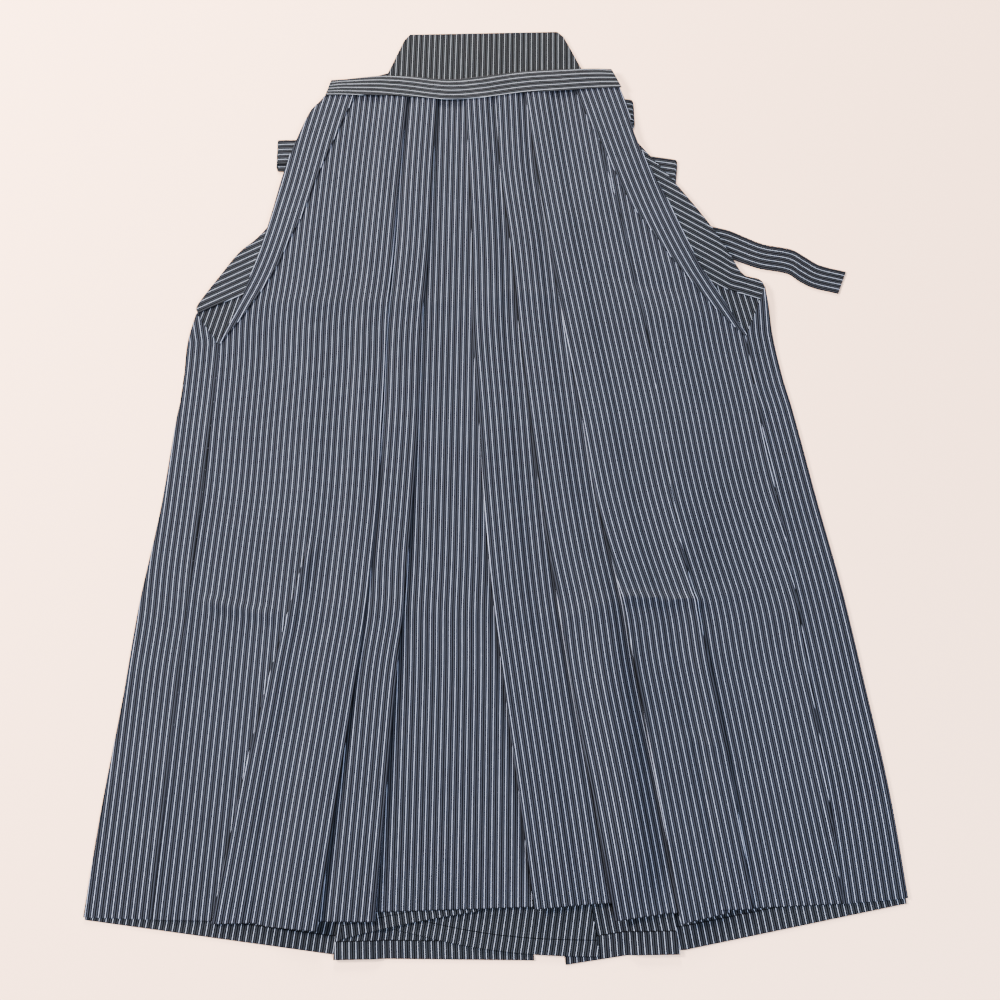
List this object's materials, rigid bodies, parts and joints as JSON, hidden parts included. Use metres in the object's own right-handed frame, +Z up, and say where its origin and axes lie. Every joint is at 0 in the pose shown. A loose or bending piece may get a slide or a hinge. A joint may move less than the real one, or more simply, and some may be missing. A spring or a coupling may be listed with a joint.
{
  "type": "hakama trousers laid flat",
  "caption": "Pleated divided hakama trousers laid flat front up, with a stiff back waist board, folded front waistband, turned-back side openings, crossing inner legs and flat ties.",
  "frame": {"origin": "centre of the garment's outline, on the surface that it lies on", "axes": "+Y from the hem to the waist, +X to the right of a viewer who looks down at the front, +Z up out of the front"},
  "size_m": [0.8049, 1.043, 0.0101],
  "materials": {
    "leg_cloth": "woven lengthwise stripes, navy with grey and bluish white lines, soft silk-like sheen",
    "inner_cloth": "the same striped cloth in the shade of the layers above it",
    "waist_cloth": "the same striped cloth drawn tight over a stiffener",
    "tie_cloth": "the same striped cloth folded into flat ties"
  },
  "bodies": {
    "root": {"back_waist_board": "waist_cloth", "front_waistband": "waist_cloth", "front_left_leg": "leg_cloth", "front_right_leg": "leg_cloth", "front_left_side_panel": "leg_cloth", "front_right_side_panel": "leg_cloth", "left_side_fold": "leg_cloth", "right_side_fold": "leg_cloth", "left_side_facing": "inner_cloth", "right_side_facing": "inner_cloth", "back_left_leg": "inner_cloth", "back_right_leg": "inner_cloth", "left_inner_leg": "inner_cloth", "right_inner_leg": "inner_cloth", "left_back_tie": "tie_cloth", "left_front_tie": "tie_cloth", "right_front_tie": "tie_cloth", "right_back_tie": "tie_cloth"}
  },
  "joints": []
}
